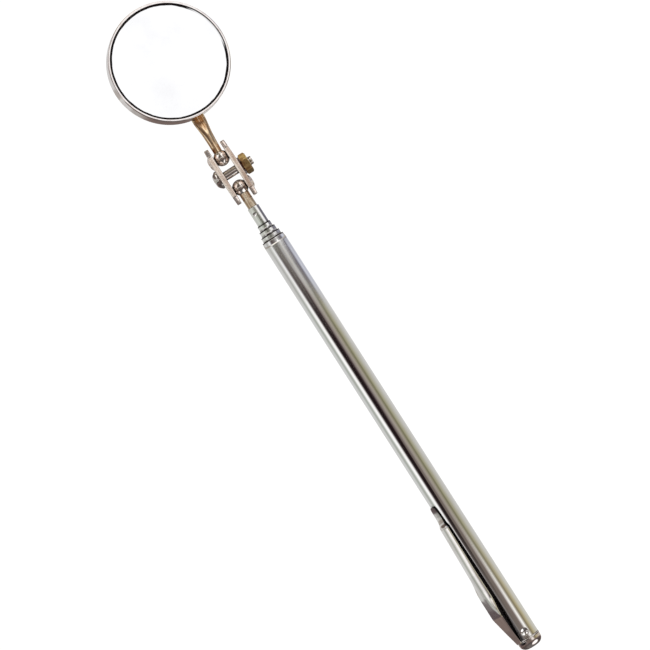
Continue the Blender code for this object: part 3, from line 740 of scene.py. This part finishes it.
def plate_mesh_plan(half_length, half_width, holes):
    """Triangles of the plate's face, with loops that follow its edge and its (x, radius) holes."""
    points = []
    edges = []

    def add_loop(loop):
        first = len(points)
        points.extend(Vector(p) for p in loop)
        edges.extend((first + k, first + (k + 1) % len(loop)) for k in range(len(loop)))

    for share in (0, 0.12, 0.35, 0.65, 1.0, 1.25):
        add_loop(plate_outline_points(PLATE_EDGE * share, half_length, half_width))
    for middle, hole in holes:
        for share in (0, 0.3, 0.7, 1.0):
            radius = hole + PLATE_EDGE * share
            turns = [TURN * k / HOLE_SIDES for k in range(HOLE_SIDES)]
            add_loop([(middle + radius * math.cos(turn), radius * math.sin(turn)) for turn in turns])
    across = int(half_width / PLATE_GRID) + 1
    along = int(half_length / PLATE_GRID) + 1
    for i in range(-along, along + 1):
        for k in range(-across, across + 1):
            x = (i + 0.5 * (k % 2)) * PLATE_GRID
            z = k * PLATE_GRID
            margin = edge_distance(x, z, half_length, half_width) - PLATE_EDGE * 0.25
            margin = min([margin] + [math.hypot(x - middle, z) - hole for middle, hole in holes])
            if margin > PLATE_EDGE + PLATE_GRID * 0.5:
                points.append(Vector((x, z)))
    made = delaunay_2d_cdt(points, edges, [], 1, 1e-9)
    flat = made[0]
    triangles = []
    for face in made[2]:
        centre = sum((flat[v] for v in face), Vector((0, 0))) / len(face)
        if all((centre - Vector((middle, 0))).length > hole for middle, hole in holes):
            triangles.append(face)
    return flat, triangles


def add_plate(name, node, body, side):
    """A crowned plate: one ball seat is pressed out into a bump, the other is a countersunk hole."""
    low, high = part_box(node)
    middle = Vector(((low.x + high.x) / 2, 0, (low.z + high.z) / 2))
    half_length = (high.x - low.x) / 2
    half_width = (high.z - low.z) / 2
    inner_y = min(abs(co.y) for co in cad_points(node) if abs(co.x - low.x) < 0.01 * MM)
    outer_y = max(abs(low.y), abs(high.y)) - PLATE_BUMP
    seat = BALL_RADIUS + BALL_SEAT_GAP
    bumped, holed = (MIRROR_BALL, ROD_BALL) if side > 0 else (ROD_BALL, MIRROR_BALL)
    holes = [(0.0, SCREW_HOLE_RADIUS), (holed.x - middle.x, SEAT_HOLE_RADIUS)]
    bump_x = bumped.x - middle.x
    bulge = outer_y + PLATE_BUMP

    def fall(x, z):
        """How far the face falls away at its rounded edge, and at the mouth of the hole."""
        near = min(math.hypot(x - centre, z) - hole for centre, hole in holes)
        near = min(near, edge_distance(x, z, half_length, half_width))
        left = min(1.0, max(0.0, 1 - near / PLATE_EDGE))
        return PLATE_EDGE * (1 - math.sqrt(max(0.0, 1 - left ** 2)))

    def outer_face(x, z):
        depth = outer_y - PLATE_CROWN * (x / half_length) ** 2
        dome = math.sqrt(max(0.0, bulge ** 2 - (x - bump_x) ** 2 - z ** 2))
        depth += (bulge - depth) * smooth_step(-0.1 * MM, PLATE_BUMP, dome - outer_y)
        return depth - fall(x, z)

    def inner_face(x, z):
        depth = inner_y
        for ball in (bumped, holed):
            reach = math.hypot(x + middle.x - ball.x, z)
            if reach < seat:
                depth = max(depth, math.sqrt(seat ** 2 - reach ** 2))
        return depth + fall(x, z)

    flat, triangles = plate_mesh_plan(half_length, half_width, holes)
    shape = bmesh.new()
    faces = []
    for height in (inner_face, outer_face):
        spots = [(middle.x + p.x, side * height(p.x, p.y), middle.z + p.y) for p in flat]
        faces.append([shape.verts.new(spot) for spot in spots])
    for triangle in triangles:
        shape.faces.new([faces[0][v] for v in triangle])
        shape.faces.new([faces[1][v] for v in reversed(triangle)])
    used = {}
    for triangle in triangles:
        for a, b in zip(triangle, triangle[1:] + triangle[:1]):
            used[frozenset((a, b))] = used.get(frozenset((a, b)), 0) + 1
    for edge, count in used.items():
        if count == 1:
            a, b = edge
            shape.faces.new((faces[0][a], faces[0][b], faces[1][b], faces[1][a]))
    loose = [vertex for vertex in shape.verts if not vertex.link_faces]
    bmesh.ops.delete(shape, geom=loose, context="VERTS")
    plate = dress(add_object(name, shape), NICKEL, [node], sharp=50)
    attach(plate, body)


def add_screw():
    """Round slotted head, plain shank between the plates and a cut thread out to the tip."""
    low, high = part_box("clamp_screw")
    centre = (low + high) / 2
    head_radius = (high.x - low.x) / 2
    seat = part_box("plate_screw_side")[1].y - PLATE_BUMP + 0.03 * MM
    thread_start = low.y + SCREW_TIP_CHAMFER
    thread_end = -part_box("plate_screw_side")[0].y
    corners = [
        (low.y, 0, 0), (low.y, SCREW_SHANK_RADIUS - SCREW_TIP_CHAMFER, 0.05 * MM),
        (thread_start, SCREW_SHANK_RADIUS, 0.05 * MM), (seat, SCREW_SHANK_RADIUS, 0.06 * MM),
        (seat, head_radius, 0.1 * MM), (seat + 0.5 * MM, head_radius, 0.2 * MM),
        (high.y - 0.15 * MM, head_radius * 0.62, 0.9 * MM), (high.y, 0, 0),
    ]
    points = rounded(corners, closed=False)
    points = refined(points, thread_start, thread_end, THREAD_PITCH / 8, closed=False)

    def thread(station, radius, angle):
        if radius < SCREW_SHANK_RADIUS * 0.9 or station > thread_end:
            return radius
        turn = (station / THREAD_PITCH - angle / TURN) % 1.0
        fade = smooth_step(0, THREAD_PITCH, thread_end - station)
        return radius - THREAD_DEPTH * fade * abs(2 * turn - 1)

    place = Matrix.Translation((centre.x, 0, centre.z)) @ ALONG_Y
    screw = add_object("slotted_clamp_screw", turned(points, SMALL_SIDES, radius_at=thread), place)
    slot = bmesh.new()
    bmesh.ops.create_cube(slot, size=1.0)
    bmesh.ops.bevel(slot, geom=slot.edges[:], offset=0.03, segments=2, affect="EDGES")
    size = Matrix.Diagonal((SCREW_SLOT_WIDTH, SCREW_SLOT_CUTTER, head_radius * 3, 1))
    turned_slot = Matrix.Translation((centre.x, high.y, centre.z))
    turned_slot = turned_slot @ Matrix.Rotation(SCREW_SLOT_TURN, 4, "Y")
    cutter = add_object("slot_helper", slot, turned_slot @ size)
    combine(screw, cutter, "DIFFERENCE")
    dress(screw, BALL_STEEL, ["clamp_screw"])
    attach(screw, "clamp_screw")


def add_washer():
    low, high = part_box("nut_washer")
    centre = (low + high) / 2
    radius = (high.x - low.x) / 2
    bore = min(math.hypot(co.x - centre.x, co.z - centre.z) for co in cad_points("nut_washer"))
    corners = [
        (low.y, bore, 0.04 * MM), (low.y, radius, 0.09 * MM),
        (high.y, radius, 0.09 * MM), (high.y, bore, 0.04 * MM),
    ]
    place = Matrix.Translation((centre.x, 0, centre.z)) @ ALONG_Y
    shape = turned(rounded(corners, closed=True), SMALL_SIDES, closed=True)
    washer = add_object("thin_washer", shape, place)
    dress(washer, WASHER_STEEL, ["nut_washer"])
    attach(washer, "nut_plate")


def add_nut():
    """Hexagon nut whose chamfer cuts each flat in a true arc."""
    low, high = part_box("clamp_nut")
    centre = Vector((MIRROR_BALL.x + ROD_BALL.x, 0, 0)) / 2
    offsets = [co - centre for co in cad_points("clamp_nut")]
    radii = [(math.hypot(co.x, co.z), math.atan2(co.z, co.x)) for co in offsets]
    corner_radius, corner_angle = max(radii)
    bore = min(radii)[0]
    flat_radius = corner_radius * math.cos(math.pi / 6)
    slope = math.tan(NUT_CHAMFER)
    face_radius = flat_radius * 0.95

    def hexagon(angle):
        sixth = math.pi / 3
        from_flat = (angle - corner_angle) % sixth - sixth / 2
        return flat_radius / math.cos(from_flat)

    def column(angle):
        """Outline of the nut in the half plane at this angle, as (station, radius)."""
        side = hexagon(angle)
        drop = (side - face_radius) / slope
        points = [(high.y, bore + NUT_BORE_CHAMFER), (high.y, face_radius)]
        points += [(high.y - drop * k / NUT_STEPS, face_radius + (side - face_radius) * k / NUT_STEPS)
                   for k in range(1, NUT_STEPS + 1)]
        points += [(low.y + drop * (NUT_STEPS - k) / NUT_STEPS, side + (face_radius - side) * k / NUT_STEPS)
                   for k in range(NUT_STEPS + 1)]
        points += [(low.y, bore + NUT_BORE_CHAMFER), (low.y + NUT_BORE_CHAMFER, bore)]
        points.append((high.y - NUT_BORE_CHAMFER, bore))
        return points

    shape = bmesh.new()
    columns = []
    for index in range(NUT_SIDES):
        angle = corner_angle + TURN * index / NUT_SIDES
        way = Vector((math.cos(angle), 0, math.sin(angle)))
        columns.append([shape.verts.new(centre + way * r + Vector((0, y, 0))) for y, r in column(angle)])
    for first, second in zip(columns, columns[1:] + columns[:1]):
        skin(shape, first, second)
    nut = dress(add_object("hexagon_clamp_nut", shape), NUT_BRASS, ["clamp_nut"], sharp=24)
    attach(nut, "clamp_nut")


# Mirror head ----------------------------------------

def head_frame():
    """The head's own axes: X along the stem from the upper ball, Z out of the glass."""
    spin = next(j for j in frame["joints"] if j["name"] == "mirror_spin")
    along = Vector(spin["axis"]).normalized()
    faces = [p for p in frame["nodes"]["mirror_glass"].data.polygons if p.normal.z > 0.5]
    out = max(faces, key=lambda p: p.area).normal.copy()
    out = (out - along * out.dot(along)).normalized()
    across = out.cross(along)
    turn = Matrix((along, across, out)).transposed().to_4x4()
    return Matrix.Translation(MIRROR_BALL) @ turn


HEAD = head_frame()


def head_box(node):
    """Lowest and highest corner of a CAD node in the head's own axes."""
    back = HEAD.inverted()
    places = [back @ co for co in cad_points(node)]
    low = Vector(min(p[k] for p in places) for k in range(3))
    high = Vector(max(p[k] for p in places) for k in range(3))
    return low, high


def glass_middle():
    """The middle of the glass's face."""
    low, high = head_box("mirror_glass")
    return HEAD @ Vector(((low.x + high.x) / 2, (low.y + high.y) / 2, high.z))


def add_disc(name, node, corners, look):
    """A piece turned about the mirror's own centre line, from (height, radius, rounding) corners."""
    low, high = head_box("mirror_glass")
    centre = (low + high) / 2
    place = HEAD @ Matrix.Translation((centre.x, centre.y, 0)) @ ALONG_Z
    piece = add_object(name, turned(rounded(corners, closed=False), CUP_SIDES), place)
    dress(piece, look, [node])
    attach(piece, "mirror_head")


def add_cup():
    low, high = head_box("mirror_cup")
    radius = (high.x - low.x) / 2
    back = low.z
    front = high.z
    inner = radius - CUP_SHEET
    lip = radius - CUP_LIP_OVERHANG
    corners = [
        (back, 0, 0), (back, radius, 0.95 * MM), (front, radius, 0.25 * MM), (front, lip, 0.06 * MM),
        (front - 0.25 * MM, lip, 0.05 * MM),
        (front - 0.5 * MM, inner, 0.1 * MM), (back + CUP_SHEET, inner, 0.5 * MM), (back + CUP_SHEET, 0, 0),
    ]
    add_disc("drawn_mirror_cup", "mirror_cup", corners, CUP_NICKEL)


def add_glass():
    low, high = head_box("mirror_glass")
    radius = (high.x - low.x) / 2
    bevel = 0.25 * MM
    corners = [
        (low.z, 0, 0), (low.z, radius, 0.08 * MM), (high.z - bevel, radius, 0.05 * MM),
        (high.z, radius - bevel, 0.05 * MM), (high.z, 0, 0),
    ]
    add_disc("mirror_disc", "mirror_glass", corners, silvered_glass(glass_middle(), radius))


def add_backing():
    low, high = head_box("mirror_backing")
    radius = (high.x - low.x) / 2
    corners = [
        (low.z, 0, 0), (low.z, radius - 0.9 * MM, 0.2 * MM), (low.z + 0.5 * MM, radius, 0.2 * MM),
        (high.z, radius, 0.1 * MM), (high.z, 0, 0),
    ]
    add_disc("backing_board", "mirror_backing", corners, fibre_board())


# Along the mirror's stem: distance from the ball, half width, half thickness.
STEM_RUN = [
    (2.15, 1.15, 1.15), (4.5, 1.20, 1.15), (7.0, 1.33, 1.00), (9.2, 1.56, 0.68),
    (11.0, 1.80, 0.45), (22.0, 1.85, 0.45), (23.4, 1.25, 0.42), (23.9, 0.55, 0.36),
]


def stem_loop(station, width, thickness):
    """One closed loop across the stem: round where it is as thick as it is wide, else squarer."""
    power = 1 - 0.3 * smooth_step(1.0, 2.5, width / thickness)
    loop = []
    for side in range(STEM_SIDES):
        angle = TURN * side / STEM_SIDES
        wide = math.copysign(abs(math.cos(angle)) ** power, math.cos(angle)) * width
        tall = math.copysign(abs(math.sin(angle)) ** power, math.sin(angle)) * thickness
        loop.append(Vector((station, wide, tall)))
    return loop


def add_mirror_stem():
    """Cupped against the ball and round there, then hammered out to a paddle under the cup."""
    run = [(x * MM, w * MM, t * MM) for x, w, t in STEM_RUN]
    high = head_box("mirror_stem")[1]
    seat = BALL_RADIUS + BALL_SEAT_GAP
    neck = run[0][1]
    loops = []
    for share in (0.02, 0.25, 0.5, 0.75, 0.94):
        across = neck * share
        loops.append(stem_loop(math.sqrt(seat ** 2 - across ** 2), across, across))
    start = math.sqrt(seat ** 2 - neck ** 2)
    for index in range(STEM_STEPS + 1):
        station = start + (high.x - start) * index / STEM_STEPS
        loops.append(stem_loop(station, *eased(run, station, 0.5 * MM)))
    stem = add_object("mirror_paddle_stem", lofted(loops), HEAD)
    dress(stem, STEM_BRASS, ["mirror_stem"])
    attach(stem, "mirror_head")


# Studio ----------------------------------------

CAMERA_DISTANCE = 900 * MM
VIEW_WIDTH = 166.75 * MM
SENSOR = 36.0
VIEW_CENTRE = Vector((98.15, 0.7, 0)) * MM
VIEW_TURN = math.radians(122.6)
FLOOR_SIZE = 6.0
FLOOR_CLEARANCE = 12 * MM
FLOOR_GLOW = 0.93
SOFT_LIGHT_SIZE = 0.8
SOFT_LIGHT_WATTS = 3.0
SOFT_LIGHT_OFFSET = Vector((-0.15, 0.35, 0.7))

# What a chromed tube along X mirrors: tilt of the direction from straight up towards +Y, in
# degrees, and its light. A white strip light, a dark flag beside it and a warm wall opposite,
# as they look from the middle of the tool, its butt, its widest mouth, its neck and its joint.
BANDS = [
    (-180, (0.68, 0.68, 0.68)), (-104, (0.56, 0.55, 0.51)), (-67, (0.38, 0.36, 0.25)),
    (-50, (0.19, 0.18, 0.10)), (-27, (0.37, 0.33, 0.27)), (-12, (0.28, 0.24, 0.22)),
    (2, (0.06, 0.04, 0.04)), (12, (0.015, 0.008, 0.009)), (30, (0.012, 0.007, 0.008)),
    (38, (0.09, 0.07, 0.07)), (50, (0.90, 0.88, 0.86)), (56, (1.1, 1.1, 1.1)), (68, (0.95, 0.95, 0.92)),
    (82, (0.42, 0.44, 0.40)), (94, (0.42, 0.44, 0.40)), (112, (0.62, 0.63, 0.61)), (180, (0.68, 0.68, 0.68)),
]
BUTT_BANDS = [
    (-180, (0.66, 0.66, 0.64)), (-110, (0.60, 0.58, 0.50)), (-80, (0.48, 0.42, 0.26)),
    (-58, (0.22, 0.18, 0.10)), (-46, (0.45, 0.41, 0.34)), (-34, (1.05, 1.03, 0.98)),
    (-24, (0.78, 0.75, 0.72)),
    (-10, (0.22, 0.18, 0.16)), (0, (0.17, 0.14, 0.12)), (28, (0.18, 0.15, 0.13)), (38, (0.22, 0.20, 0.19)),
    (48, (0.06, 0.05, 0.05)), (60, (0.01, 0.01, 0.01)), (86, (0.02, 0.02, 0.02)), (100, (0.09, 0.07, 0.07)),
    (122, (0.13, 0.10, 0.105)), (140, (0.40, 0.38, 0.36)), (180, (0.5, 0.48, 0.46)),
]
MOUTH_BANDS = [
    (-180, (0.60, 0.62, 0.66)), (-120, (0.52, 0.53, 0.60)), (-104, (0.66, 0.68, 0.76)),
    (-80, (0.16, 0.15, 0.18)), (-56, (0.21, 0.19, 0.19)), (-44, (0.42, 0.42, 0.42)),
    (-32, (0.60, 0.58, 0.55)), (-14, (0.44, 0.43, 0.42)),
    (2, (0.22, 0.20, 0.19)), (27, (0.10, 0.08, 0.075)), (38, (0.14, 0.12, 0.12)), (56, (0.95, 0.95, 0.95)),
    (76, (0.58, 0.58, 0.56)), (90, (0.40, 0.40, 0.38)), (104, (0.60, 0.60, 0.58)), (180, (0.68, 0.68, 0.68)),
]
NECK_BANDS = [
    (-180, (0.30, 0.30, 0.34)), (-110, (0.13, 0.12, 0.15)), (-86, (0.12, 0.11, 0.13)),
    (-68, (0.95, 0.95, 0.93)), (-44, (1.1, 1.1, 1.08)), (-30, (0.42, 0.40, 0.36)),
    (-16, (0.11, 0.12, 0.09)), (8, (0.10, 0.11, 0.08)), (22, (0.42, 0.44, 0.38)),
    (60, (0.62, 0.65, 0.58)), (110, (0.55, 0.56, 0.52)), (180, (0.75, 0.75, 0.72)),
]
JOINT_BANDS = [
    (-180, (0.40, 0.38, 0.36)), (-60, (0.50, 0.47, 0.44)), (-35, (1.1, 1.07, 1.02)), (-12, (1.1, 1.04, 0.97)),
    (0, (1.05, 0.97, 0.88)), (12, (1.1, 1.04, 0.94)), (40, (1.0, 0.97, 0.93)), (70, (0.30, 0.26, 0.22)),
    (180, (0.50, 0.48, 0.46)),
]
# The room past the strip light, by the direction's X: brown walls with soft windows in them.
ROOM = [
    (-1.0, (0.16, 0.15, 0.145)), (-0.5, (0.07, 0.06, 0.06)), (-0.25, (0.20, 0.15, 0.135)),
    (0.25, (0.34, 0.27, 0.23)), (0.5, (0.07, 0.05, 0.045)), (0.85, (0.22, 0.20, 0.17)),
    (1.0, (0.55, 0.46, 0.28)),
]
# For sets of bands and the room: the direction's X where they are gone, and where they are full.
BUTT_FROM = (-0.064, -0.102)
MOUTH_FROM = (0.004, 0.014)
NECK_FROM = (0.026, 0.031)
NECK_UNTIL = (0.10, 0.07)
JOINT_FROM = (0.0425, 0.045)
JOINT_UNTIL = (0.14, 0.11)
ROOM_AT_BUTT = (-0.16, -0.24)
ROOM_AT_MIRROR = (0.30, 0.42)
# Each window: its direction, and its radius in degrees.
WINDOWS = [((0.50, -0.72, 0.48), 30), ((-0.86, -0.42, 0.28), 22), ((0.76, 0.56, 0.30), 20)]
WINDOW_SOFTNESS = 7
WINDOW_LIGHT = (1.3, 1.27, 1.24)
SOFTBOX_RADIUS = 5.5
SOFTBOX_SOFTNESS = 2.5
SOFTBOX_LIGHT = (1.06, 1.06, 1.06)


def add_glow(g, light, direction, aim, radius, softness, colour):
    """Lay a round soft light over the studio, its radius and softness in degrees."""
    facing = g.vector("DOT_PRODUCT", direction, Vector(aim).normalized())
    edge = math.cos(math.radians(radius + softness))
    return g.mix(g.span(facing, edge, math.cos(math.radians(radius))), light, colour)


def build_world(mirror_sees):
    """A studio that depends on direction only, so it looks the same round every pose."""
    world = bpy.data.worlds.new("studio")
    world.use_nodes = True
    bpy.context.scene.world = world
    g = Graph(world.node_tree)
    direction = g.add("ShaderNodeTexCoord").outputs["Generated"]
    parts = g.add("ShaderNodeSeparateXYZ", {"Vector": direction}).outputs
    tilt = g.math("ARCTAN2", parts["Y"], parts["Z"])
    share = g.math("MULTIPLY_ADD", tilt, 1 / TURN, 0.5)
    places = (BANDS, BUTT_BANDS, MOUTH_BANDS, NECK_BANDS, JOINT_BANDS)
    middle, butt, mouth, neck, joint = [
        g.ramp(share, [(angle / 360 + 0.5, light) for angle, light in bands]) for bands in places]
    light = g.mix(g.span(parts["X"], *BUTT_FROM), middle, butt)
    light = g.mix(g.span(parts["X"], *MOUTH_FROM), light, mouth)
    by_neck = g.math("MULTIPLY", g.span(parts["X"], *NECK_FROM), g.span(parts["X"], *NECK_UNTIL))
    light = g.mix(by_neck, light, neck)
    by_joint = g.math("MULTIPLY", g.span(parts["X"], *JOINT_FROM), g.span(parts["X"], *JOINT_UNTIL))
    light = g.mix(by_joint, light, joint)
    along = g.math("MULTIPLY_ADD", parts["X"], 0.5, 0.5)
    room = g.ramp(along, [(x / 2 + 0.5, colour) for x, colour in ROOM])
    clutter = g.noise(direction, (3.1, 3.1, 3.1), 2.0)
    room = g.mix(g.span(clutter, 0.5, 0.7, 0.0, 0.4), room, (0.30, 0.24, 0.21))
    for aim, radius in WINDOWS:
        room = add_glow(g, room, direction, aim, radius, WINDOW_SOFTNESS, WINDOW_LIGHT)
    past_lights = g.math("ADD", g.span(parts["X"], *ROOM_AT_BUTT), g.span(parts["X"], *ROOM_AT_MIRROR))
    light = g.mix(past_lights, light, room)
    light = add_glow(g, light, direction, mirror_sees, SOFTBOX_RADIUS, SOFTBOX_SOFTNESS, SOFTBOX_LIGHT)
    seen = g.add("ShaderNodeBackground", {"Color": (1, 1, 1, 1), "Strength": 1.0})
    lit = g.add("ShaderNodeBackground", {"Color": light, "Strength": 1.0})
    camera_ray = g.add("ShaderNodeLightPath").outputs["Is Camera Ray"]
    mixed = g.add("ShaderNodeMixShader", {0: camera_ray, 1: lit.outputs[0], 2: seen.outputs[0]})
    g.add("ShaderNodeOutputWorld", {"Surface": mixed.outputs[0]})


def build_floor():
    """A white sweep, low enough for the mirror to swing down without touching it."""
    low = CAD_BOX[0]
    reach = (CAD_BOX[1].x - ROD_BALL.x) + FLOOR_CLEARANCE
    shape = bmesh.new()
    bmesh.ops.create_grid(shape, x_segments=1, y_segments=1, size=FLOOR_SIZE)
    floor = add_object("floor", shape, Matrix.Translation((0, 0, low.z - reach)))
    made = bpy.data.materials.new("pale_floor")
    made.use_nodes = True
    g = Graph(made.node_tree)
    glow = g.add("ShaderNodeEmission", {"Color": (1, 1, 1, 1), "Strength": FLOOR_GLOW})
    matt = g.add("ShaderNodeBsdfDiffuse", {"Color": (0.16, 0.16, 0.16, 1)})
    both = g.add("ShaderNodeAddShader", {0: glow.outputs[0], 1: matt.outputs[0]})
    g.add("ShaderNodeOutputMaterial", {"Surface": both.outputs[0]})
    floor.data.materials.append(made)
    floor.visible_glossy = False
    floor.visible_diffuse = False


def build_camera():
    """Straight above the tool, turned so that the handle runs from upper left to lower right."""
    data = bpy.data.cameras.new("camera")
    data.sensor_width = SENSOR
    data.lens = SENSOR * CAMERA_DISTANCE / VIEW_WIDTH
    data.clip_start = 0.05
    data.clip_end = 50
    camera = bpy.data.objects.new("camera", data)
    camera.location = VIEW_CENTRE + Vector((0, 0, CAMERA_DISTANCE))
    camera.rotation_euler = (0, 0, -VIEW_TURN)
    bpy.context.scene.collection.objects.link(camera)
    bpy.context.scene.camera = camera
    return camera


def build_soft_light():
    """One large soft light overhead that only fills; the world gives the reflections."""
    data = bpy.data.lights.new("soft_light", "AREA")
    data.shape = "DISK"
    data.size = SOFT_LIGHT_SIZE
    data.energy = SOFT_LIGHT_WATTS
    light = bpy.data.objects.new("soft_light", data)
    light.location = VIEW_CENTRE + SOFT_LIGHT_OFFSET
    light.rotation_euler = (VIEW_CENTRE - light.location).to_track_quat("-Z", "Y").to_euler()
    light.visible_glossy = False
    light.visible_camera = False
    bpy.context.scene.collection.objects.link(light)


def mirrored_direction(camera):
    """Where the camera looks after the glass: the softbox that the mirror shows."""
    normal = HEAD.to_3x3() @ Vector((0, 0, 1))
    return (glass_middle() - camera.location).normalized().reflect(normal)


def main():
    add_handle_tube()
    for number in (4, 3, 2, 1):
        add_section(number)
        add_bush(number)
    add_end_cap()
    add_clip()
    add_rod_stem()
    add_ball("rod_ball_steel", "rod_ball", ROD_BALL, "rod_ball")
    add_ball("mirror_ball_steel", "mirror_ball", MIRROR_BALL, "mirror_ball")
    add_plate("clamp_plate_screw_side", "plate_screw_side", "joint_plate", 1)
    add_plate("clamp_plate_nut_side", "plate_nut_side", "nut_plate", -1)
    add_screw()
    add_washer()
    add_nut()
    add_mirror_stem()
    add_cup()
    add_backing()
    add_glass()
    build_floor()
    camera = build_camera()
    build_soft_light()
    build_world(mirrored_direction(camera))
    bpy.context.scene.view_settings.view_transform = "Standard"


main()
